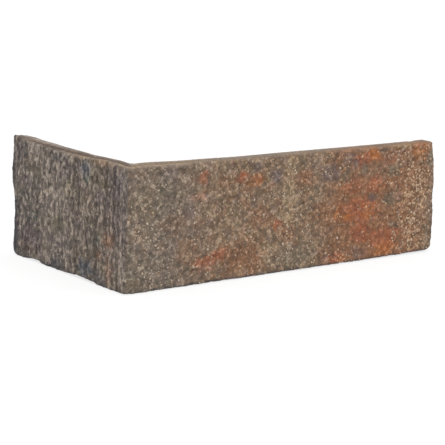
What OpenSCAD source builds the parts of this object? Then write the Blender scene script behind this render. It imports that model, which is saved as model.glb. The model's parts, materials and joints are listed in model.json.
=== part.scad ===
// Corner brick slip: a thin L-shaped piece of fired clay that turns brick facing round an
// outside corner. It stands on its bed edge, as it sits in the wall. The long leg runs along
// +X with its face towards -Y, and the short leg runs back along +Y with its face towards -X.
// The origin is on the bed, in the middle of the slip's bounding box.

/* [Legs] */
// Length of the long leg, over its outside
long_leg = 240; // [180:1:300]
// Length of the short leg, over its outside
short_leg = 115; // [90:1:160]
// Height of the slip in the wall, one brick course
slip_height = 71; // [50:1:120]
// Thickness of both legs
thickness = 10; // [7:0.5:20]

/* [Corners and edges] */
// Radius of the outer upright corner
corner_r = 1.6; // [0.6:0.1:4]
// Radius of the fillet in the inside angle
inside_r = 2; // [0.5:0.1:6]
// Radius of the worn edges around the two faces
arris_r = 1; // [0.3:0.1:2]
// Radius of the edges at the back of the free ends
back_edge_r = 0.5; // [0.2:0.1:1]
// Radius of the bottom corners at both free ends
foot_r = 4; // [1:0.5:8]
// Radius of the top corner at the short leg's free end
short_head_r = 1.5; // [0.5:0.5:8]
// Radius of the top corner at the long leg's free end
long_head_r = 2; // [0.5:0.5:8]

/* [Firing hollows] */
// Length of the bed edge's hollow near the short leg's free end
outer_hollow_w = 17; // [8:1:20]
// Length of the bed edge's hollow near the corner
inner_hollow_w = 34; // [12:1:40]
// Depth of both hollows in the bed edge
bed_hollow_d = 1.05; // [0.35:0.1:1.55]
// Height of the hollow in the short leg's free end
end_hollow_w = 24; // [8:1:26]
// Depth of the hollow in the free end
end_hollow_d = 1.45; // [0.35:0.1:1.95]

/* [Hidden] */
$fn = 64;
fired_clay = [0.50, 0.43, 0.37];
// Sides of the large rounds that the hollows are cut from
hollow_fn = 360;
// How far each cutter reaches past the surface that it cuts
past = 1;
// Middles of the bed edge's hollows, from the corner
outer_hollow_y = 0.81 * short_leg;
inner_hollow_y = 0.38 * short_leg;
// Middle of the hollow in the free end, above the bed
end_hollow_z = 0.4 * slip_height;

// The stock outside a round of radius r, at a corner whose solid lies towards +X and +Y
module outside_round(r) {
    difference() {
        translate([-past, -past]) square(r + past);
        translate([r, r]) circle(r);
    }
}

// The L-shaped section of the slip, with the outer corner at the origin
module plan() {
    difference() {
        union() {
            square([long_leg, thickness]);
            square([thickness, short_leg]);
            translate([thickness, thickness]) outside_round(inside_r);
        }
        outside_round(corner_r);
        translate([long_leg, 0]) mirror([1, 0]) outside_round(arris_r);
        translate([0, short_leg]) mirror([0, 1]) outside_round(arris_r);
        translate([long_leg, thickness]) rotate(180) outside_round(back_edge_r);
        translate([thickness, short_leg]) rotate(180) outside_round(back_edge_r);
    }
}

// A cutter along the whole long leg, for an edge whose solid lies towards +Y and +Z
module long_edge(r) {
    translate([-past, 0, 0]) rotate([90, 0, 90])
        linear_extrude(long_leg + 2 * past) outside_round(r);
}

// The same along the whole short leg, for an edge whose solid lies towards +X and +Z
module short_edge(r) {
    translate([0, short_leg + past, 0]) rotate([90, 0, 0])
        linear_extrude(short_leg + 2 * past) outside_round(r);
}

// The worn round edges of the two faces, on one bed
module face_edges() {
    long_edge(arris_r);
    short_edge(arris_r);
}

// A cutter through the long leg's free end, for a corner on its bed
module long_end_corner(r) {
    translate([long_leg, thickness + past, 0]) mirror([1, 0, 0]) rotate([90, 0, 0])
        linear_extrude(thickness + 2 * past) outside_round(r);
}

// A cutter through the short leg's free end, for a corner on its bed
module short_end_corner(r) {
    translate([-past, short_leg, 0]) mirror([0, 1, 0]) rotate([90, 0, 90])
        linear_extrude(thickness + 2 * past) outside_round(r);
}

// A segment of a round through the short leg's thickness that leaves a hollow of this width
// and depth, where the surface is level and the solid lies towards +Z
module hollow(width, depth) {
    r = (width * width / 4 + depth * depth) / (2 * depth);
    translate([-past, 0, 0]) rotate([90, 0, 90]) linear_extrude(thickness + 2 * past)
        intersection() {
            translate([0, depth - r]) circle(r, $fn = hollow_fn);
            translate([-0.6 * width, -past]) square([1.2 * width, 2 * past + depth]);
        }
}

module on_top_bed() {
    translate([0, 0, slip_height]) mirror([0, 0, 1]) children();
}

module slip() {
    difference() {
        linear_extrude(slip_height) plan();
        face_edges();
        on_top_bed() face_edges();
        long_end_corner(foot_r);
        short_end_corner(foot_r);
        on_top_bed() long_end_corner(long_head_r);
        on_top_bed() short_end_corner(short_head_r);
        translate([0, outer_hollow_y, 0]) hollow(outer_hollow_w, bed_hollow_d);
        translate([0, inner_hollow_y, 0]) hollow(inner_hollow_w, bed_hollow_d);
        translate([0, short_leg, end_hollow_z]) rotate([90, 0, 0])
            hollow(end_hollow_w, end_hollow_d);
    }
}

module corner_slip() {
    color(fired_clay) translate([-long_leg / 2, -short_leg / 2, 0]) slip();
}

corner_slip();
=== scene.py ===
import json
import math
from random import Random

import bmesh
import bpy
from mathutils import Euler, Matrix, Vector, noise
from mathutils.bvhtree import BVHTree

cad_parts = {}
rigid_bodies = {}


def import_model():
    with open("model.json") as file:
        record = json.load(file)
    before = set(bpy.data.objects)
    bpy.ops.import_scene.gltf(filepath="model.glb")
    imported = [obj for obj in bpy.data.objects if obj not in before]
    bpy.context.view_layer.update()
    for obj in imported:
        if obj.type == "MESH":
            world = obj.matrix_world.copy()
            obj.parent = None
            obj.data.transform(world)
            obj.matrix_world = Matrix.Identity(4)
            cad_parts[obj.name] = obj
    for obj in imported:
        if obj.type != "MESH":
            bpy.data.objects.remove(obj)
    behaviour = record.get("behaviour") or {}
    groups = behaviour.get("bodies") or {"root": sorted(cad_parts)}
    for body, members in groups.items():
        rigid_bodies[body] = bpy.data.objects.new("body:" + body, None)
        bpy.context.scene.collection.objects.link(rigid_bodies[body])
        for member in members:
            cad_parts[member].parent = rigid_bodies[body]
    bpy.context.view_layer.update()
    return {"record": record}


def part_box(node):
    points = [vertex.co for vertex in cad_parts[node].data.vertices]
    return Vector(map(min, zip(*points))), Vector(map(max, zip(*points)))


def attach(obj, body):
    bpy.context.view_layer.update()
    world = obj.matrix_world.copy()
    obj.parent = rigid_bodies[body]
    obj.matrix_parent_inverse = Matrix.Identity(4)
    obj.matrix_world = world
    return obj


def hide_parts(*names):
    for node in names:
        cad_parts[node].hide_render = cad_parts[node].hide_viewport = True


for leftover in list(bpy.data.objects):     # Blender's own starting cube, lamp and camera
    bpy.data.objects.remove(leftover)
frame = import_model()
scene = bpy.context.scene

# the slip's sizes come from the frame; in here it is shaped in millimetres from its corner's foot
mm = 0.001
slipLow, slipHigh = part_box("corner_slip")
longLeg, shortLeg, height = (slipHigh - slipLow) / mm
mounts = {mount["name"]: mount for mount in frame["record"]["mounts"]}
thick = (mounts["long_leg_back"]["pos_m"][1] - slipLow.y) / mm
print("slip", round(longLeg), "x", round(shortLeg), "x", round(height), "x", round(thick), "mm")


# camera, where the photographer stood
view = {
    "place": (-0.6802, -0.8161, 0.2424),
    "heading": 39.63,       # degrees clockwise from +Y
    "tilt": 11.88,          # degrees below level
    "roll": 2.85,
    "lens": 142.35,
}


def placeCamera():
    lens = bpy.data.cameras.new("photoLens")
    lens.lens = view["lens"]
    lens.sensor_width = 36
    lens.clip_start = 0.01
    lens.clip_end = 50
    camera = bpy.data.objects.new("photoCamera", lens)
    scene.collection.objects.link(camera)
    turn = (Matrix.Rotation(math.radians(-view["heading"]), 4, "Z")
            @ Matrix.Rotation(math.radians(90 - view["tilt"]), 4, "X")
            @ Matrix.Rotation(math.radians(view["roll"]), 4, "Z"))
    camera.matrix_world = Matrix.Translation(view["place"]) @ turn
    scene.camera = camera


placeCamera()
print("camera placed")


# small helpers for shaping and painting
def smoothStep(low, high, value):
    t = min(max((value - low) / (high - low), 0), 1)
    return t * t * (3 - 2 * t)


def mix(a, b, amount):
    return a + (b - a) * amount


def drift(place, size, seed):
    # soft noise, about -1 to 1, with bumps of this size
    return noise.noise(place / size + Vector((seed * 7.3, seed * 3.1, seed * 5.7)))


def rough(place, size, octaves, seed):
    return noise.fractal(place / size + Vector((seed * 7.3, seed * 3.1, seed * 5.7)), 0.9, 2.1, octaves)


def srgb(red, green, blue):
    # a colour as read off a screen, 0 to 255, for a shader
    linear = []
    for part in (red, green, blue):
        part = part / 255
        linear.append(part / 12.92 if part <= 0.04045 else ((part + 0.055) / 1.055) ** 2.4)
    return Vector(linear)


# the fired clay body
slip = {
    "cell": 1.2,            # mesh cell all round; the two faces are cut once more
    "arris": 1.1,           # round of the worn edges
    "arrisDrift": 0.8,      # how much that grows and shrinks along them
    "corner": 1.9,          # round of the upright corner
    "backEdge": 0.5,        # round of the edges behind
    "inside": 2.0,          # fillet in the inside angle
    "foot": 4.0,            # bottom corners at the free ends
    "shortHead": 1.2,       # top corner at the short leg's end
    "longHead": 1.0,        # top corner at the long leg's end
    "lean": 0.5,            # a little out of square: the feet this way, the tops the other
    "longEndLean": 1.3,
    "shortEndLean": -1.6,
    "waveReach": 22.0,      # how far into the face a wave of its edge is felt
    "chip": 0.6,            # small chips along the short leg's foot; the long leg's are half of it
}
# waves of the outline: leg, edge, middle, half length, and depth into the clay
waves = [
    ("short", "foot", 44, 21, 1.0),
    ("short", "foot", 93, 10, 1.1),
    ("short", "foot", 73, 12, -0.2),
    ("short", "foot", 108, 6, -0.3),
    ("short", "foot", 87, 4, 0.8),
    ("short", "foot", 31, 4, 0.5),
    ("short", "head", 20, 30, -1.15),
    ("short", "head", 60, 46, -0.3),
    ("short", "head", 88, 14, -0.4),
    ("short", "head", 105, 14, -0.85),
    ("short", "head", 116, 8, -0.45),
    ("short", "lip", 115, 12, -1.0),
    ("short", "lip", 62, 48, 1.1),
    ("long", "lip", 25, 30, 0.7),
    ("long", "head", 14, 34, -1.2),
    ("long", "head", 45, 40, -0.5),
    ("long", "head", 190, 75, 0.2),
    ("long", "head", 228, 5, 0.3),
    ("long", "head", 239, 8, -0.2),
    ("long", "foot", 68, 20, 0.2),
    ("long", "foot", 150, 90, 0.25),
    ("long", "foot", 240, 80, 0.7),
    ("long", "foot", 239, 6, 0.6),
    ("short", "end", 28, 15, 1.5),
    ("short", "end", 50, 12, -0.9),
    ("short", "end", 67, 9, 0.5),
    ("short", "end", 44, 5, -0.4),
    ("short", "end", 15, 6, 0.4),
    ("short", "end", 5, 10, -0.9),
    ("long", "end", 71, 10, 1.7),
    ("long", "end", 64, 12, 0.8),
    ("long", "end", 34, 30, -0.5),
    ("long", "end", 36, 9, 0.7),
    ("long", "end", 2, 8, 0.8),
]


def cutAlong(bm, axis, length, cell):
    # cuts every edge that runs along one axis and has this length into cells
    found = []
    for edge in bm.edges:
        run = edge.verts[1].co - edge.verts[0].co
        if abs(run.length - length) < 0.01 and abs(run.normalized()[axis]) > 0.99:
            found.append(edge)
    cuts = max(round(length / cell) - 1, 1)
    bmesh.ops.subdivide_edges(bm, edges=found, cuts=cuts, use_grid_fill=True)


def makeBlank(bm):
    # one corner square, both legs drawn out of it, then the height
    corner = [bm.verts.new(place) for place in
              ((0, 0, 0), (thick, 0, 0), (thick, thick, 0), (0, thick, 0))]
    square = bm.faces.new(corner)
    for axis, reach in ((0, longLeg - thick), (1, shortLeg - thick)):
        side = [edge for edge in square.edges
                if all(abs(v.co[axis] - thick) < 0.01 for v in edge.verts)]
        drawn = bmesh.ops.extrude_edge_only(bm, edges=side)["geom"]
        ends = [part for part in drawn if isinstance(part, bmesh.types.BMVert)]
        push = Vector((0, 0, 0))
        push[axis] = reach
        bmesh.ops.translate(bm, verts=ends, vec=push)
    raised = bmesh.ops.extrude_face_region(bm, geom=bm.faces[:], use_keep_orig=True)["geom"]
    tops = [part for part in raised if isinstance(part, bmesh.types.BMVert)]
    bmesh.ops.translate(bm, verts=tops, vec=(0, 0, height))
    bmesh.ops.recalc_face_normals(bm, faces=bm.faces[:])
    cutAlong(bm, 0, longLeg - thick, slip["cell"])
    cutAlong(bm, 1, shortLeg - thick, slip["cell"])
    cutAlong(bm, 2, height, slip["cell"])
    cutAlong(bm, 0, thick, slip["cell"])
    cutAlong(bm, 1, thick, slip["cell"])
    # the two faces carry the fired skin, so they get cells of half the size
    faceEdges = set()
    for face in bm.faces:
        middle = face.calc_center_median()
        if min(middle.x, middle.y) < 0.01:
            faceEdges.update(face.edges)
    bmesh.ops.subdivide_edges(bm, edges=list(faceEdges), cuts=1, use_grid_fill=True)


def edgeRound(place):
    # the worn edges are rounder in some places than in others
    cornerness = smoothStep(9, 3, max(place.x, place.y))
    radius = mix(slip["arris"], slip["corner"], cornerness)
    radius = max(radius + slip["arrisDrift"] * rough(place, 11, 3, 1), 0.35)
    behind = smoothStep(0.35, 0.65, min(place.x, place.y) / thick)
    return mix(radius, slip["backEdge"], behind)


def pullIn(gap, radius):
    # what stands past the start of a round is drawn in onto it
    length = gap.length
    return gap * (radius / length) if length > 1e-6 else gap


def roundEdges(bm):
    for v in bm.verts:
        x, y = v.co.x, v.co.y
        r = edgeRound(v.co)
        low = Vector((r, r, r))
        high = Vector((1e6, 1e6, height - r))
        if x > thick + 0.01:
            high.x = longLeg - r
            high.y = thick - slip["backEdge"]
        elif y > thick + 0.01:
            high.y = shortLeg - r
            high.x = thick - slip["backEdge"]
        inner = Vector([min(max(v.co[i], low[i]), high[i]) for i in range(3)])
        gap = v.co - inner
        if sum(abs(part) > 1e-4 for part in gap) > 1:
            v.co = inner + pullIn(gap, max(abs(part) for part in gap))
        # the inside angle's fillet
        reach = thick + slip["inside"]
        if thick - 0.01 <= x < reach and thick - 0.01 <= y < reach:
            turned = pullIn(Vector((x - reach, y - reach, 0)), slip["inside"])
            v.co.x = reach + turned.x
            v.co.y = reach + turned.y


def roundEndCorner(place, axis, end, atTop, radius):
    # a corner of a leg's free end, seen square on to its face
    along = place[axis] - (end - radius)
    up = place.z - (height - radius) if atTop else radius - place.z
    if along > 0 and up > 0:
        share = max(along, up) / math.hypot(along, up)
        place[axis] = end - radius + along * share
        place.z = height - radius + up * share if atTop else radius - up * share


def shapeOutline(bm):
    for v in bm.verts:
        axis = 1 if v.co.y > v.co.x else 0
        end = shortLeg if axis else longLeg
        roundEndCorner(v.co, axis, end, False, slip["foot"])
        roundEndCorner(v.co, axis, end, True, slip["shortHead" if axis else "longHead"])
        # both legs' waves run out into each other round the corner
        longShare = smoothStep(-9, 9, v.co.x - v.co.y)
        up = v.co.z
        push = Vector((0, 0, 0))
        for leg, edge, middle, half, depth in waves:
            waveAxis = 1 if leg == "short" else 0
            share = 1 - longShare if waveAxis else longShare
            along = v.co[waveAxis]
            if edge == "end":
                nearness = smoothStep(slip["waveReach"], 0, (shortLeg if waveAxis else longLeg) - along)
                push[waveAxis] -= share * depth * nearness * smoothStep(half, 0, abs(up - middle))
            elif edge == "foot":
                nearness = smoothStep(slip["waveReach"], 0, up)
                push.z += share * depth * nearness * smoothStep(half, 0, abs(along - middle))
            else:
                nearness = smoothStep(slip["waveReach"], 0, height - up)
                if edge == "lip":   # of the face alone, level again at the back
                    nearness *= smoothStep(thick, 0, min(v.co.x, v.co.y))
                push.z -= share * depth * nearness * smoothStep(half, 0, abs(along - middle))
        # the foot edge is chipped
        chips = max(rough(Vector((v.co.x, v.co.y, 0)), 5, 3, 21), 0)
        push.z += slip["chip"] * mix(1, 0.5, longShare) * chips * smoothStep(3.5, 0, up)
        # the free ends and the whole slip stand a little out of square
        tip = 1 - 2 * up / height
        push.x += slip["lean"] * tip
        endLean = slip["shortEndLean"] if axis else slip["longEndLean"]
        push[axis] += endLean * tip * smoothStep(45, 0, end - v.co[axis])
        v.co += push


# relief of the fired skin, in millimetres
skin = {
    "bow": 0.35,            # slow waves of the whole face
    "lump": 0.25,           # lumps about a finger's width apart
    "crumb": 0.20,          # crumbs of the fired face
    "crumbSize": 1.9,
    "rough": 0.16,          # roughness between them
    "roughSize": 2.6,
    "drag": 0.16,           # upright drag marks, strong on the short leg
    "dragWidth": 1.5,
    "dragLength": 3.0,
    "band": 0.95,           # slow upright bands among them
    "bandWidth": 2.3,
    "bandLength": 60,
    "pit": 0.40,            # small open pits
    "pitSize": 4.6,
    "bedGrain": 0.10,       # the plain beds and back
    "comb": 0.14,           # faint level lines behind, from drawing the clay out
    "combSize": 3.2,
    "valley": 0.4,          # groove along the top bed
}
# how much each mark lightens or darkens the clay
toneShares = {"crumb": 0.10, "rough": 0.24, "drag": 0.34, "pit": 0.42, "gap": 0.10}


def crumbField(place, stretch):
    # each crumb has its own height, and a groove round it
    spot = Vector((place.x, place.y, place.z / stretch)) / skin["crumbSize"]
    distances, points = noise.voronoi(spot)
    own = noise.cell(points[0] * 9.7)
    gap = smoothStep(0.16, 0.0, distances[1] - distances[0])
    return own, gap


def dragMarks(along, up, sway):
    # upright strokes with broken ends, and bands that are strongest by the corner
    strokes = Vector(((along + sway) / skin["dragWidth"], up / skin["dragLength"], 3.7))
    breaks = Vector((along / 2.6, up / 3.2, 9.2))
    bands = Vector(((along + 0.4 * sway) / skin["bandWidth"], up / skin["bandLength"], 6.4))
    band = skin["band"] * (1 + 0.3 * smoothStep(50, 15, along))
    stroke = 1 - 0.25 * smoothStep(45, 20, along)
    return (stroke * noise.noise(strokes) + 0.7 * stroke * noise.noise(breaks)
            + band * noise.noise(bands))


def dragShare(place, leg):
    # the short leg was drawn upwards, and the long one only beside the corner
    if leg == "short":
        return 1.0
    return 0.1 + 0.3 * smoothStep(14, 0, place.x)


def skinRelief(place, leg):
    # height of the skin here, and its tone from 0, dark, to 1, pale
    along, up = (place.y if leg == "short" else place.x), place.z
    drawn = dragShare(place, leg)
    slow = skin["bow"] * drift(place, 55, 2) + skin["lump"] * rough(place, 13, 3, 3)
    own, gap = crumbField(place, 1 + 0.9 * drawn if leg == "short" else 1)
    grit = rough(place, skin["roughSize"], 3, 4)
    strokes = drawn * dragMarks(along, up, 1.2 * drift(place, 17, 5))
    distances, points = noise.voronoi(place / skin["pitSize"] + Vector((4.4, 1.9, 7.7)))
    pit = smoothStep(0.26, 0.05, distances[0]) * smoothStep(-0.05, 0.25, drift(place, 9, 6))
    crumbs = own * (1 - gap) - 0.7 * gap
    relief = (slow + skin["crumb"] * crumbs + skin["rough"] * grit + skin["drag"] * strokes
              - skin["pit"] * pit)
    tone = (0.5 + toneShares["crumb"] * own - toneShares["gap"] * gap + toneShares["rough"] * grit
            + toneShares["drag"] * strokes - toneShares["pit"] * pit)
    return relief, tone


# the kiln's colours, as they read on a screen
kilnColors = {
    "ash": srgb(114, 104, 96),
    "mauve": srgb(102, 89, 88),
    "blue": srgb(78, 80, 85),
    "green": srgb(92, 95, 86),
    "dun": srgb(112, 99, 87),
    "olive": srgb(109, 100, 83),
    "moss": srgb(100, 88, 72),
    # this dark colour is scorch on the clay, and also the painted shade along and under the foot
    "charAndShade": srgb(66, 63, 65),
    "coal": srgb(54, 54, 59),
    # this dark colour is soot on the clay, and also the painted shade in the top bed's groove and along the
    # long leg's free end
    "sootAndShade": srgb(78, 62, 50),
    "umber": srgb(88, 68, 58),
    "brown": srgb(126, 103, 82),
    "clay": srgb(132, 91, 62),
    "rust": srgb(128, 91, 65),
    "red": srgb(146, 84, 55),
    "orange": srgb(160, 97, 50),
    "pink": srgb(150, 112, 92),
    "tan": srgb(150, 128, 100),
    "bed": srgb(122, 109, 95),
    "rim": srgb(152, 138, 128),
    "lime": srgb(198, 186, 168),
    "quartz": srgb(206, 170, 132),
    "back": srgb(146, 120, 98),
    "smoke": srgb(112, 98, 88),
}
# the plain skin along each leg: distance from the corner, colour
shortRun = [(0, "ash"), (12, "dun"), (40, "dun"), (60, "ash"), (115, "ash")]
longRun = [
    (0, "dun"), (30, "dun"), (62, "brown"), (140, "brown"), (160, "clay"), (222, "clay"),
    (240, "brown"),
]
# where fire or sand has coloured it, and one painted shade strip at the long leg's free end: colour,
# distance from the corner, height,
# half length, half height, strength
shortPatches = [
    ("rim", 92, 58, 14, 12, 0.2), ("rim", 72, 37, 13, 17, 0.2), ("blue", 37, 26, 14, 12, 0.2),
    ("charAndShade", 68, 67, 8, 3, 0.5), ("charAndShade", 43, 66.5, 10, 3.5, 0.4), ("rim", 91, 64, 9, 6, 0.4),
    ("charAndShade", 103, 36, 8, 46, 0.3), ("charAndShade", 117, 58, 9, 20, 0.8), ("charAndShade", 117, 16, 10, 24, 1.0),
    ("coal", 117, 14, 9, 22, 0.9), ("charAndShade", 20, 36, 16, 46, 0.12), ("mauve", 104, 47, 8, 3, 0.8),
    ("blue", 27, 5, 10, 5, 0.5), ("tan", 50, 70.5, 12, 1.5, 0.35), ("tan", 25, 70.5, 12, 2, 0.45),
    ("clay", 24, 70.5, 9, 1.5, 0.3),
    ("mauve", 9, 44, 13, 34, 0.5), ("blue", 8, 60, 8, 9, 0.3), ("rim", 3, 12, 4, 13, 0.45),
    ("mauve", 96, 14, 12, 9, 0.9), ("umber", 100, 8, 9, 4, 0.5), ("mauve", 74, 20, 4, 7, 0.7),
    ("green", 92, 28, 3, 4, 0.8), ("mauve", 58, 62, 4, 6, 0.6), ("olive", 56, 52, 8, 6, 0.6),
    ("olive", 70, 28, 14, 6, 0.5), ("blue", 69, 3, 8, 4, 0.6), ("blue", 40, 65, 6, 6, 0.95),
    ("green", 39, 59, 4, 3, 0.8), ("blue", 39, 7, 8, 6, 0.95), ("mauve", 25, 51, 6, 6, 0.7),
    ("mauve", 11, 57, 5, 6, 0.7), ("green", 27, 27, 3, 4, 0.7), ("rust", 17, 28, 6, 5, 0.55),
    ("rust", 26, 18, 4, 3, 0.4), ("pink", 16, 11, 4, 8, 0.35), ("mauve", 48, 61, 5, 8, 0.5),
    ("olive", 23, 59, 6, 3, 0.8), ("mauve", 47, 33, 5, 9, 0.5), ("olive", 92, 58, 10, 7, 0.3),
]
longPatches = [
    ("dun", 188, 62, 40, 11, 0.35), ("rust", 42, 21, 9, 9, 0.4), ("tan", 208, 70.5, 16, 2, 0.5),
    ("green", 236, 61, 4, 6, 0.5), ("mauve", 166, 65, 7, 4, 0.4), ("tan", 222, 32, 14, 30, 0.12),
    ("sootAndShade", 28, 68.5, 16, 2, 0.3), ("mauve", 29, 66, 6, 3, 0.4), ("tan", 12, 50, 12, 22, 0.2),
    ("olive", 10, 10, 12, 12, 0.4), ("tan", 100, 22, 40, 18, 0.15), ("red", 53, 62.5, 3.5, 4, 0.65),
    ("red", 57, 13, 9, 5, 0.7), ("orange", 63, 15, 7, 2.5, 0.3), ("red", 69, 17, 7, 4, 0.75),
    ("pink", 51, 52, 6, 3, 0.6), ("mauve", 44, 44, 5, 7, 0.5), ("rust", 77, 12, 9, 11, 0.8),
    ("olive", 24, 54, 14, 8, 0.3), ("rust", 33, 38, 10, 7, 0.3), ("red", 82, 60, 5, 4, 1.0),
    ("orange", 92, 58, 6, 4, 0.9), ("rust", 87, 57, 9, 5, 0.9), ("mauve", 94, 65, 4, 3, 0.6),
    ("mauve", 108, 59, 5, 5, 0.7), ("tan", 118, 65, 5, 4, 0.6), ("rust", 129, 56, 9, 6, 1.0),
    ("mauve", 150, 57, 9, 6, 0.6), ("tan", 118, 42, 5, 26, 0.6), ("rust", 97, 35, 9, 7, 0.7),
    ("red", 110, 30, 4, 4, 0.8), ("rust", 118, 24, 8, 6, 0.8), ("tan", 101, 15, 4, 5, 0.6),
    ("rust", 89, 12, 12, 12, 0.9), ("olive", 124, 9, 16, 7, 0.6), ("pink", 150, 4, 3, 3, 0.7),
    ("red", 158, 4, 5, 4, 0.95), ("rust", 147, 33, 14, 8, 0.8), ("orange", 158, 32, 4, 4, 0.7),
    ("orange", 186, 66, 6, 5, 0.95), ("red", 176, 64, 8, 5, 0.8), ("umber", 192, 69, 4, 2, 0.9),
    ("orange", 226, 67, 7, 7, 0.6), ("mauve", 171, 62, 3, 3, 0.7), ("green", 178, 58, 3, 4, 0.7),
    ("moss", 163, 55, 5, 5, 0.8), ("rust", 182, 44, 20, 18, 0.5), ("rust", 190, 20, 22, 16, 0.5),
    ("moss", 203, 56, 7, 4, 0.7), ("moss", 203, 38, 8, 5, 0.8), ("moss", 206, 20, 6, 4, 0.6),
    ("red", 176, 33, 16, 9, 0.85), ("orange", 166, 30, 4, 3, 0.7), ("orange", 184, 31, 7, 5, 0.5),
    ("red", 178, 19, 9, 8, 0.8), ("orange", 199, 7, 10, 6, 0.9), ("orange", 164, 3, 5, 3, 0.5),
    ("red", 197, 14, 15, 7, 0.75), ("red", 188, 47, 7, 6, 0.7), ("pink", 208, 39, 4, 3, 0.7),
    ("mauve", 186, 40, 4, 3, 0.6), ("umber", 222, 33, 12, 28, 0.05), ("mauve", 238, 40, 3, 20, 0.4),
    ("olive", 236, 8, 5, 9, 0.3), ("rust", 232, 47, 5, 8, 0.5), ("red", 200, 63, 10, 4, 0.4),
    # the last strip, at 240.5 along the long leg, is painted shade down its free end
    ("mauve", 176, 6, 8, 5, 0.4), ("red", 170, 48, 9, 6, 0.5), ("sootAndShade", 240.5, 36, 2.5, 40, 0.5),
]


def runColor(run, along):
    for (startAt, start), (stopAt, stop) in zip(run, run[1:]):
        if along <= stopAt:
            share = min(max((along - startAt) / (stopAt - startAt), 0), 1)
            return kilnColors[start].lerp(kilnColors[stop], share)
    return kilnColors[run[-1][1]].copy()


def skinColor(place, leg, up):
    along = place.y if leg == "short" else place.x
    color = runColor(shortRun if leg == "short" else longRun, along)
    # the bare clay changes between warm and cold from place to place
    tone = rough(place, 8, 3, 8)
    change = 0.35 - 0.2 * smoothStep(130, 170, place.x)
    if leg == "long":
        change *= mix(0.45, 1, smoothStep(30, 70, along))
        rusty = mix(0.18, 0.5, smoothStep(30, 70, along))
        color = color.lerp(kilnColors["rust"], rusty * smoothStep(0.1, 0.5, rough(place, 6, 2, 14)))
    color = color.lerp(kilnColors["mauve"], change * smoothStep(0.05, 0.6, tone))
    color = color.lerp(kilnColors["olive"], change * smoothStep(0.05, 0.6, -tone))
    ragged = 0.50 * rough(place, 3.2, 3, 9) + 0.30 * drift(place, 1.1, 10)
    for name, middle, level, half, halfUp, strength in (shortPatches if leg == "short" else longPatches):
        aside, above = (along - middle) / half, (up - level) / halfUp
        if abs(aside) < 1.8 and abs(above) < 1.8:
            reach = math.hypot(aside, above) + ragged
            color = color.lerp(kilnColors[name], strength * smoothStep(1.3, 0.4, reach))
    return color


def footShade(place, leg):
    # painted shade along the foot edge, where the slip stands on the floor, least of all at the corner
    edge = place.z + 0.7 * drift(place, 4, 15)
    share = mix(0.3, 1, smoothStep(3, 16, max(place.x, place.y)))
    return share * (0.75 if leg == "short" else 0.7) * smoothStep(2.7, 0.7, edge)


def bedWander(place):
    # depth from the face on the top bed, for lines that wander, and come forward at the free end
    forward = 2.4 * smoothStep(50, 95, place.y)
    return min(place.x, place.y) + forward + 0.9 * drift(place, 6, 16)


def bedValley(place):
    # a valley runs along the short leg's top bed, and dies out along the long leg
    wander = bedWander(place)
    share = 0.4 * smoothStep(80, 40, place.x)
    share += mix(0.35, 0.85, smoothStep(108, 98, place.y)) * smoothStep(-4, 6, place.y - place.x)
    return share * smoothStep(3.0, 4.2, wander) * smoothStep(7.2, 6.0, wander)


def bedColor(place, leg, top):
    # the face's colours run a little way over onto the beds
    deep = min(place.x, place.y)
    up = height - 0.5 * deep if top else 0.5 * deep
    plain = kilnColors["bed"].lerp(kilnColors["brown"], 0.8 * smoothStep(110, 200, place.x))
    color = skinColor(place, leg, up).lerp(plain, 0.1 + 0.55 * smoothStep(0.5, 2.5, deep))
    if top:
        # straw-coloured by the corner; the valley is painted dark as shade in its groove, and the rim behind
        # it is pale
        wander = bedWander(place)
        worn = smoothStep(-0.3, 0.3, drift(place, 8, 19))
        shortShare = smoothStep(-4, 6, place.y - place.x)
        color *= mix(0.86, 0.66, shortShare)
        straw = (1 - shortShare) * smoothStep(66, 40, place.x)
        # by the front edge the short leg's bed is paler: wear, and a painted highlight along the arris
        lip = shortShare * smoothStep(75, 45, place.y) * smoothStep(3.4, 2.2, wander)
        color = color.lerp(kilnColors["tan"], mix(0.2, 0.5, worn) * lip + 0.5 * straw)
        rim = mix(0.25, 0.75, worn) * mix(0.5, 1, shortShare) * smoothStep(6.6, 7.8, wander)
        color = color.lerp(kilnColors["rim"], rim)
        # painted shade along the groove
        color = color.lerp(kilnColors["sootAndShade"], bedValley(place))
    else:
        # painted shade under the foot: the bottom bed darkens towards the face
        color = color.lerp(kilnColors["charAndShade"], 0.75 * smoothStep(4, 1, deep))
    return color


def calmShare(place):
    # the scorched free end, the burnt red clay and the corner are smoother than the rest
    scorched = smoothStep(9, 3, shortLeg - place.y) * mix(0.7, 0.2, smoothStep(20, 32, place.z))
    burnt = smoothStep(150, 168, place.x) * smoothStep(212, 200, place.x)
    corner = smoothStep(70, 45, place.x) * smoothStep(-2, 8, place.x - place.y)
    corner *= smoothStep(45, 30, place.z)
    return max(scorched, 0.22 * burnt, 0.1 * corner)


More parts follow.
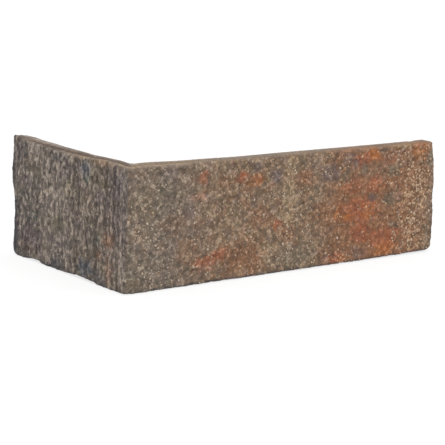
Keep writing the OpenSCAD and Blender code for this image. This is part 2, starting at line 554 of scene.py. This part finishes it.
def paintAndRaise(bm):
    # colour and relief come from the same marks, so worn ridges are pale and pits are dark
    clay = bm.verts.layers.float_color.new("clay")
    surface = bm.verts.layers.float_color.new("surface")
    bm.normal_update()
    pushes = []
    for v in bm.verts:
        place, normal = v.co.copy(), v.normal
        leg = "short" if place.y > place.x else "long"
        front = smoothStep(0.3, 0.8, max(-normal.x, -normal.y)) if min(place.x, place.y) < 3 else 0
        bed = smoothStep(0.3, 0.8, abs(normal.z))
        # behind, the clay is plain, and smoked in clouds; its colour is painted a little paler, as painted
        # light against the shade behind
        smoke = smoothStep(-0.1, 0.6, rough(place, 21, 3, 17))
        color = kilnColors["back"].lerp(kilnColors["smoke"], 0.8 * smoke)
        color = color.lerp(kilnColors["clay"], 0.5 * smoothStep(0.1, 0.6, rough(place, 13, 3, 20)))
        if min(place.x, place.y) < thick - 1:
            # the free ends
            across = smoothStep(0, thick, min(place.x, place.y))
            ending = skinColor(place, leg, place.z).lerp(kilnColors["charAndShade"], 0.6 if leg == "short" else 0.1)
            color = ending.lerp(color, 0.7 * across)
        if bed > 0:
            color = color.lerp(bedColor(place, leg, normal.z > 0), bed)
        if front > 0:
            # the face gets its painted shade line along the foot here
            facing = skinColor(place, leg, place.z).lerp(kilnColors["charAndShade"], footShade(place, leg))
            color = color.lerp(facing, front)
        relief, tone = skinRelief(place, leg)
        cut = rough(place, 1.6, 3, 12)
        plain = skin["bedGrain"] * cut + 0.3 * skin["bow"] * drift(place, 30, 18)
        if min(place.x, place.y) > thick - 1 and bed < 0.5:
            lines = Vector((place.x / 40, place.y / 40, place.z / skin["combSize"]))
            plain += skin["comb"] * noise.noise(lines)
        if normal.z > 0.5:
            plain -= skin["valley"] * bedValley(place)
        pushes.append((v, normal * mix(plain, relief, front)))
        toEdge = height - place.z + 1.1 * drift(place, 5, 11)
        # the fired skin runs on over the arris
        lip = 0.7 * smoothStep(3, 1, min(place.x, place.y))
        contrast = max(front, lip, 0.45) * (1 - calmShare(place))
        tone = mix(0.5 + 0.35 * cut, tone, max(front, lip, 0.4))
        v[clay] = (*color, dragShare(place, leg) * front)
        v[surface] = (min(max(tone, 0), 1), smoothStep(2.6, 0.6, toEdge) * (1 - bed), contrast, front)
    for v, push in pushes:
        v.co += push
    # the feet come down onto the floor
    lowest = min(v.co.z for v in bm.verts)
    for v in bm.verts:
        v.co.z -= lowest * smoothStep(8, 0, v.co.z)


# sand fired onto the skin
sand = {
    "seed": 5,
    "grains": 1900,
    "batch": 60,
    "smallest": 1.15,       # across, in millimetres
    "largest": 2.7,
    "sunk": 0.55,           # how far the grain's middle is under the skin, in radii
    "clayOnGrain": 0.25,    # how much of the clay's own colour is on each
    "coarseFrom": 205,      # from here on the grains are bigger and cleaner
}
sandTints = [
    (srgb(196, 168, 140), 34), (srgb(206, 190, 170), 10), (srgb(172, 144, 114), 26),
    (srgb(154, 142, 128), 16), (srgb(154, 106, 78), 6), (srgb(70, 62, 58), 8),
]
# where it lies thicker: leg, distance from the corner, height, half length, half height, how much
sandZones = [
    ("long", 223, 30, 13, 30, 1.5), ("long", 118, 38, 6, 40, 1.8), ("long", 15, 35, 22, 36, 0.2),
    ("long", 103, 14, 7, 8, 0.8), ("long", 214, 64, 20, 7, 0.6), ("short", 12, 30, 16, 32, 0.1),
    ("long", 180, 30, 20, 44, -0.2),
]
# grains that stand out: leg, distance, height, across
bigGrains = [
    ("long", 228, 19, 3.2), ("long", 228, 14.5, 2.2), ("long", 208, 38, 2.2), ("long", 83, 5.5, 2.2),
    ("long", 102, 61, 2), ("long", 171, 62, 2.2), ("long", 158, 60, 2.2), ("long", 150, 56, 2),
    ("long", 105, 11.5, 2.4), ("long", 39, 61, 2), ("long", 38, 44, 2), ("long", 131, 62, 2),
    ("long", 119, 50, 1.6), ("long", 118, 44, 1.6), ("long", 113, 37, 1.6), ("long", 15, 7, 1.6),
    ("short", 28, 41, 1.7), ("short", 47, 45, 1.6), ("short", 33, 44, 1.6), ("short", 35, 33, 1.8),
]


def sandAmount(leg, along, up):
    amount = 0.55 if leg == "long" else 0.12
    for zoneLeg, middle, level, half, halfUp, more in sandZones:
        if zoneLeg == leg:
            reach = math.hypot((along - middle) / half, (up - level) / halfUp)
            amount += more * smoothStep(1.2, 0.4, reach)
    return amount


def scatterSand(rng):
    # leg, distance, height and size of every grain
    grains = list(bigGrains)
    while len(grains) < sand["grains"]:
        place = rng.uniform(0.8, longLeg + shortLeg - 1.6)
        leg, along = ("long", place) if place < longLeg - 0.8 else ("short", place - longLeg + 1.6)
        coarse = leg == "long" and along > sand["coarseFrom"]
        across = mix(sand["smallest"], sand["largest"], rng.random() ** (1.2 if coarse else 2.2))
        across *= 1.3 if coarse else 1
        up = rng.uniform(0.7 * across, height - 0.6 * across)
        clump = smoothStep(-0.35, 0.45, drift(Vector((along, up, 3 if leg == "long" else 60)), 4.5, 13))
        if rng.random() * 2.4 < sandAmount(leg, along, up) * (0.35 + clump):
            grains.append((leg, along, up, across))
    return grains


def addGrain(batch, tint, grain, skinTree, rng):
    leg, along, up, across = grain
    start = Vector((along, -8, up)) if leg == "long" else Vector((-8, along, up))
    inward = Vector((0, 1, 0)) if leg == "long" else Vector((1, 0, 0))
    hit, normal, *rest = skinTree.ray_cast(start, inward)
    if hit is None:
        return
    if normal.dot(inward) > 0:
        normal = -normal
    radius = across / 2
    seat = hit - normal * radius * sand["sunk"]
    turn = Euler([rng.uniform(0, math.tau) for axis in range(3)]).to_matrix().to_4x4()
    squash = Matrix.Diagonal((1, rng.uniform(0.65, 1), rng.uniform(0.6, 0.95), 1))
    made = bmesh.ops.create_icosphere(batch, subdivisions=1, radius=radius,
                                      matrix=Matrix.Translation(seat) @ turn @ squash)
    colors, weights = zip(*sandTints)
    color = rng.choices(colors[:4], weights[:4])[0] if across > 1.45 else rng.choices(colors, weights)[0]
    dusted, dullest = 0.6, 0.85
    if leg == "long":
        color = color.lerp(kilnColors["lime"], 0.4 * smoothStep(80, 40, along))
        color = color.lerp(kilnColors["quartz"], 0.35 * smoothStep(195, 215, along))
        dusted = sand["clayOnGrain"]
        if along > sand["coarseFrom"]:
            dusted, dullest = 0.12, 0.66
    color = color.lerp(skinColor(hit, leg, up), dusted) * rng.uniform(dullest, 1.12)
    for v in made["verts"]:
        v[tint] = (*color, 1)


def makeSand(bm, skinTree):
    rng = Random(sand["seed"])
    grains = scatterSand(rng)
    bm.verts.layers.float_color.new("tint")
    for first in range(0, len(grains), sand["batch"]):
        batch = bmesh.new()
        tint = batch.verts.layers.float_color.new("tint")
        for grain in grains[first:first + sand["batch"]]:
            addGrain(batch, tint, grain, skinTree, rng)
        mesh = bpy.data.meshes.new("sandBatch")
        batch.to_mesh(mesh)
        batch.free()
        bm.from_mesh(mesh)
        bpy.data.meshes.remove(mesh)


def addPiece(name, bm, material):
    # from millimetres at the corner's foot to the slip's place in metres
    toFrame = Matrix.Translation(slipLow) @ Matrix.Scale(mm, 4)
    bmesh.ops.transform(bm, matrix=toFrame, verts=bm.verts[:])
    mesh = bpy.data.meshes.new(name)
    bm.to_mesh(mesh)
    bm.free()
    piece = bpy.data.objects.new(name, mesh)
    scene.collection.objects.link(piece)
    mesh.materials.append(material)
    mesh.shade_smooth()
    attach(piece, "root")
    return piece


# shader helpers
def addNode(tree, kind, inputs=None, **settings):
    node = tree.nodes.new(kind)
    for name, value in settings.items():
        setattr(node, name, value)
    for name, value in (inputs or {}).items():
        if isinstance(value, bpy.types.NodeSocket):
            tree.links.new(value, node.inputs[name])
        elif isinstance(value, Vector) and node.inputs[name].type == "RGBA":
            node.inputs[name].default_value = (*value, 1)
        else:
            node.inputs[name].default_value = value
    return node


def compute(tree, operation, a, b=0.0):
    return addNode(tree, "ShaderNodeMath", {0: a, 1: b}, operation=operation).outputs[0]


def blend(tree, amount, a, b, how="MIX"):
    inputs = {"Factor": amount, 6: a, 7: b}
    return addNode(tree, "ShaderNodeMix", inputs, data_type="RGBA", blend_type=how).outputs[2]


def remap(tree, value, low, high, toLow=0.0, toHigh=1.0):
    inputs = {"Value": value, "From Min": low, "From Max": high, "To Min": toLow, "To Max": toHigh}
    return addNode(tree, "ShaderNodeMapRange", inputs, interpolation_type="SMOOTHSTEP").outputs[0]


def cloud(tree, place, scale, detail=3.0, roughness=0.55):
    inputs = {"Vector": place, "Scale": scale, "Detail": detail, "Roughness": roughness}
    return addNode(tree, "ShaderNodeTexNoise", inputs).outputs["Fac"]


def startGroup(name, inputs, outputs):
    group = bpy.data.node_groups.new(name, "ShaderNodeTree")
    for label, kind in inputs:
        group.interface.new_socket(label, in_out="INPUT", socket_type=kind)
    for label, kind in outputs:
        group.interface.new_socket(label, in_out="OUTPUT", socket_type=kind)
    return group, group.nodes.new("NodeGroupInput").outputs, group.nodes.new("NodeGroupOutput").inputs


def makeGrainGroup():
    # fine grain of fired clay: a tone about 1 for the colour, and a height for the bump
    group, given, result = startGroup(
        "clayGrain",
        [("Place", "NodeSocketVector"), ("Contrast", "NodeSocketFloat")],
        [("Tone", "NodeSocketFloat"), ("Height", "NodeSocketFloat")])
    coarse = cloud(group, given["Place"], 420, 3)
    fine = cloud(group, given["Place"], 1500, 3)
    coarse = compute(group, "MULTIPLY", coarse, 0.6)
    both = compute(group, "ADD", coarse, compute(group, "MULTIPLY", fine, 0.4))
    spread = compute(group, "MULTIPLY", compute(group, "SUBTRACT", both, 0.5), given["Contrast"])
    group.links.new(compute(group, "ADD", spread, 1.0), result["Tone"])
    group.links.new(both, result["Height"])
    return group


def makeCrumbGroup():
    # crumbs of the fired skin: each has its own tone about 0, and a dark gap round it
    group, given, result = startGroup(
        "clayCrumbs",
        [("Place", "NodeSocketVector"), ("Scale", "NodeSocketFloat")],
        [("Tone", "NodeSocketFloat"), ("Gap", "NodeSocketFloat")])
    sway = addNode(group, "ShaderNodeTexNoise", {"Vector": given["Place"], "Scale": 500, "Detail": 2})
    middled = addNode(group, "ShaderNodeVectorMath", {0: sway.outputs["Color"], 1: (0.5, 0.5, 0.5)},
                      operation="SUBTRACT")
    shift = addNode(group, "ShaderNodeVectorMath", {0: middled.outputs[0], "Scale": 0.0022},
                    operation="SCALE")
    bent = addNode(group, "ShaderNodeVectorMath", {0: given["Place"], 1: shift.outputs[0]},
                   operation="ADD").outputs[0]
    cells = addNode(group, "ShaderNodeTexVoronoi", {"Vector": bent, "Scale": given["Scale"]})
    own = addNode(group, "ShaderNodeSeparateColor", {0: cells.outputs["Color"]}).outputs[0]
    group.links.new(compute(group, "SUBTRACT", own, 0.5), result["Tone"])
    rims = addNode(group, "ShaderNodeTexVoronoi", {"Vector": bent, "Scale": given["Scale"]},
                   feature="DISTANCE_TO_EDGE")
    group.links.new(remap(group, rims.outputs["Distance"], 0.16, 0.02), result["Gap"])
    return group


def makeMottleGroup():
    # small clouds of warmer and colder clay
    group, given, result = startGroup(
        "kilnMottle",
        [("Place", "NodeSocketVector"), ("Color", "NodeSocketColor"), ("Strength", "NodeSocketFloat")],
        [("Color", "NodeSocketColor")])
    cold = remap(group, cloud(group, given["Place"], 260, 2), 0.5, 0.72)
    shifted = addNode(group, "ShaderNodeMapping", {"Vector": given["Place"], "Location": (0.31, 0.17, 0.05)})
    warm = remap(group, cloud(group, shifted.outputs[0], 300, 2), 0.5, 0.72)
    amount = compute(group, "MULTIPLY", cold, given["Strength"])
    color = blend(group, amount, given["Color"], kilnColors["mauve"])
    amount = compute(group, "MULTIPLY", warm, given["Strength"])
    color = blend(group, amount, color, kilnColors["olive"])
    group.links.new(color, result["Color"])
    return group


def placeGroup(tree, group, inputs):
    node = tree.nodes.new("ShaderNodeGroup")
    node.node_tree = group
    for name, value in inputs.items():
        if isinstance(value, bpy.types.NodeSocket):
            tree.links.new(value, node.inputs[name])
        else:
            node.inputs[name].default_value = value
    return node.outputs


def startMaterial(name):
    material = bpy.data.materials.new(name)
    material.use_nodes = True
    tree = material.node_tree
    tree.nodes.clear()
    shader = tree.nodes.new("ShaderNodeBsdfPrincipled")
    out = tree.nodes.new("ShaderNodeOutputMaterial")
    tree.links.new(shader.outputs[0], out.inputs["Surface"])
    place = tree.nodes.new("ShaderNodeTexCoord").outputs["Object"]
    return material, tree, shader, place


clayLook = {
    "contrast": 4.5,                # how much paler tone 1 is than tone 0
    "grain": 0.10,                  # fine grain's share of the tone
    "middle": 0.38,                 # the tone at which the clay has its own colour
    "crumb": 0.6,                   # the crumbs' share of it
    "crumbScale": 520,
    "drawnScale": 650,              # crumbs drawn out upwards, across
    "gap": 0.30,                    # how dark the gaps between them are
    "looseShare": 0.8,              # how strong both are where nothing was dragged
    "drawLine": 0.7,                # level draw lines behind
    "pore": 0.55,                   # open pores behind
    "chalk": srgb(172, 158, 140),   # rubbed ridges
    "chalkShare": 0.25,
    "rub": srgb(150, 136, 118),     # wear along the edges
    "rubShare": 0.1,
    "mottle": 0.32,
    "bump": 0.5,
    "bumpHeight": 0.0004,
}


def plainMarks(tree, place):
    # the clay behind has broken level draw lines and a few open pores
    level = addNode(tree, "ShaderNodeMapping", {"Vector": place, "Scale": (0.08, 0.08, 1)}).outputs[0]
    lines = compute(tree, "SUBTRACT", cloud(tree, level, 420, 4), 0.5)
    lines = compute(tree, "MULTIPLY", lines, remap(tree, cloud(tree, place, 75, 2), 0.35, 0.65, 0.25, 1.0))
    cells = addNode(tree, "ShaderNodeTexVoronoi", {"Vector": place, "Scale": 260})
    chosen = addNode(tree, "ShaderNodeSeparateColor", {0: cells.outputs["Color"]}).outputs[0]
    pores = compute(tree, "MULTIPLY", remap(tree, cells.outputs["Distance"], 0.2, 0.08),
                    remap(tree, chosen, 0.45, 0.8))
    lines = compute(tree, "MULTIPLY", lines, clayLook["drawLine"])
    return compute(tree, "SUBTRACT", lines, compute(tree, "MULTIPLY", pores, clayLook["pore"]))


def makeClay(grainGroup, mottleGroup, crumbGroup):
    material, tree, shader, place = startMaterial("firedClay")
    clay = addNode(tree, "ShaderNodeAttribute", attribute_name="clay")
    marks = addNode(tree, "ShaderNodeAttribute", attribute_name="surface")
    tone, wear, contrast = addNode(tree, "ShaderNodeSeparateColor", {0: marks.outputs["Color"]}).outputs
    grain = placeGroup(tree, grainGroup, {"Place": place, "Contrast": clayLook["grain"] * 6})
    # crumbs, drawn out into strokes where the clay was dragged
    drawn = addNode(tree, "ShaderNodeMapping", {"Vector": place, "Scale": (1, 1, 0.55)}).outputs[0]
    loose = placeGroup(tree, crumbGroup, {"Place": place, "Scale": clayLook["crumbScale"]})
    pulled = placeGroup(tree, crumbGroup, {"Place": drawn, "Scale": clayLook["drawnScale"]})
    dragged = remap(tree, clay.outputs["Alpha"], 0.3, 0.7)
    crumb = blend(tree, dragged, loose["Tone"], pulled["Tone"])
    gap = blend(tree, dragged, loose["Gap"], pulled["Gap"])
    fine = compute(tree, "MULTIPLY", crumb, clayLook["crumb"])
    fine = compute(tree, "SUBTRACT", fine, compute(tree, "MULTIPLY", gap, clayLook["gap"]))
    fine = compute(tree, "MULTIPLY", fine, remap(tree, dragged, 0.0, 1.0, clayLook["looseShare"], 1.0))
    fine = compute(tree, "ADD", fine, compute(tree, "SUBTRACT", grain["Tone"], 1.0))
    level = compute(tree, "ADD", compute(tree, "SUBTRACT", tone, clayLook["middle"]), fine)
    level = compute(tree, "MULTIPLY", level, contrast)
    plain = compute(tree, "SUBTRACT", 1.0, marks.outputs["Alpha"])
    behind = compute(tree, "MULTIPLY", plainMarks(tree, place), plain)
    level = compute(tree, "ADD", level, behind)
    gain = compute(tree, "POWER", clayLook["contrast"], level)
    # mottled colour, pale ridges, dark hollows, rubbed edges
    mottled = placeGroup(tree, mottleGroup, {
        "Place": place, "Color": clay.outputs["Color"], "Strength": clayLook["mottle"]})
    color = blend(tree, 1.0, mottled["Color"], gain, "MULTIPLY")
    chalk = compute(tree, "MULTIPLY", remap(tree, level, 0.08, 0.42), clayLook["chalkShare"])
    color = blend(tree, chalk, color, clayLook["chalk"])
    color = blend(tree, compute(tree, "MULTIPLY", wear, clayLook["rubShare"]), color, clayLook["rub"])
    tree.links.new(color, shader.inputs["Base Color"])
    tree.links.new(remap(tree, level, -0.4, 0.4, 0.96, 0.84), shader.inputs["Roughness"])
    raised = compute(tree, "ADD", grain["Height"], compute(tree, "MULTIPLY", fine, contrast))
    raised = compute(tree, "ADD", raised, compute(tree, "MULTIPLY", behind, 2.0))
    bump = addNode(tree, "ShaderNodeBump", {
        "Strength": clayLook["bump"], "Distance": clayLook["bumpHeight"], "Height": raised})
    tree.links.new(bump.outputs[0], shader.inputs["Normal"])
    return material


def makeSandLook(grainGroup, mottleGroup):
    material, tree, shader, place = startMaterial("firedSand")
    tint = addNode(tree, "ShaderNodeAttribute", attribute_name="tint").outputs["Color"]
    grain = placeGroup(tree, grainGroup, {"Place": place, "Contrast": 0.5})
    mottled = placeGroup(tree, mottleGroup, {"Place": place, "Color": tint, "Strength": 0.2})
    color = blend(tree, 1.0, mottled["Color"], grain["Tone"], "MULTIPLY")
    tree.links.new(color, shader.inputs["Base Color"])
    tree.links.new(remap(tree, grain["Height"], 0.3, 0.7, 0.65, 0.85), shader.inputs["Roughness"])
    bump = addNode(tree, "ShaderNodeBump", {
        "Strength": 0.3, "Distance": 0.0002, "Height": grain["Height"]})
    tree.links.new(bump.outputs[0], shader.inputs["Normal"])
    return material


grainGroup = makeGrainGroup()
mottleGroup = makeMottleGroup()
crumbGroup = makeCrumbGroup()

body = bmesh.new()
makeBlank(body)
roundEdges(body)
shapeOutline(body)
print("slip shaped", len(body.faces), "faces")
paintAndRaise(body)
print("skin raised and painted")
skinTree = BVHTree.FromBMesh(body)
grains = bmesh.new()
makeSand(grains, skinTree)
print("sand laid", len(grains.faces), "faces")
bodyPiece = addPiece("firedSlip", body, makeClay(grainGroup, mottleGroup, crumbGroup))
sandPiece = addPiece("firedSand", grains, makeSandLook(grainGroup, mottleGroup))
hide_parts("corner_slip")


# floor, backdrop and lamps
studio = {
    "floorHalf": 8.0,
    "floorTone": 0.55,
    "floorShare": 0.6,      # how much of the camera's floor is plain white, over its shadow
    "floorWhite": 1.25,
    "sky": 0.50,
    "lamps": [              # heading the light comes from, height, strength, width, all in degrees but one
        (215, 48, 1.9, 30),
        (130, 40, 0.45, 40),
        (0, 88, 0.9, 60),
    ],
}


def seenRay(tree):
    # 1 for what the camera sees, directly or in a reflection
    path = tree.nodes.new("ShaderNodeLightPath").outputs
    seen = compute(tree, "MAXIMUM", path["Is Camera Ray"], path["Is Glossy Ray"])
    return compute(tree, "MAXIMUM", seen, path["Is Transmission Ray"])


def makeFloor():
    bm = bmesh.new()
    bmesh.ops.create_grid(bm, x_segments=2, y_segments=2, size=studio["floorHalf"])
    mesh = bpy.data.meshes.new("studioFloor")
    bm.to_mesh(mesh)
    bm.free()
    floor = bpy.data.objects.new("studioFloor", mesh)
    scene.collection.objects.link(floor)
    material = bpy.data.materials.new("studioFloor")
    material.use_nodes = True
    tree = material.node_tree
    tree.nodes.clear()
    tone = studio["floorTone"]
    paper = addNode(tree, "ShaderNodeBsdfDiffuse", {"Color": (tone, tone, tone, 1)})
    white = addNode(tree, "ShaderNodeEmission", {"Color": (1, 1, 1, 1), "Strength": studio["floorWhite"]})
    share = compute(tree, "MULTIPLY", seenRay(tree), studio["floorShare"])
    look = addNode(tree, "ShaderNodeMixShader", {0: share, 1: paper.outputs[0], 2: white.outputs[0]})
    out = tree.nodes.new("ShaderNodeOutputMaterial")
    tree.links.new(look.outputs[0], out.inputs["Surface"])
    mesh.materials.append(material)


def lightStudio():
    world = bpy.data.worlds.new("studioWorld")
    scene.world = world
    world.use_nodes = True
    tree = world.node_tree
    tree.nodes.clear()
    strength = remap(tree, seenRay(tree), 0.0, 1.0, studio["sky"], 1.0)
    sky = addNode(tree, "ShaderNodeBackground", {"Color": (1, 1, 1, 1), "Strength": strength})
    out = tree.nodes.new("ShaderNodeOutputWorld")
    tree.links.new(sky.outputs[0], out.inputs["Surface"])
    for number, (heading, lift, strength, width) in enumerate(studio["lamps"]):
        sun = bpy.data.lights.new("studioLamp%d" % number, "SUN")
        sun.energy = strength
        sun.angle = math.radians(width)
        lamp = bpy.data.objects.new(sun.name, sun)
        scene.collection.objects.link(lamp)
        lamp.rotation_euler = Euler((math.radians(90 - lift), 0, math.radians(180 - heading)))


makeFloor()
lightStudio()
print("studio lit")

scene.view_settings.view_transform = "Standard"
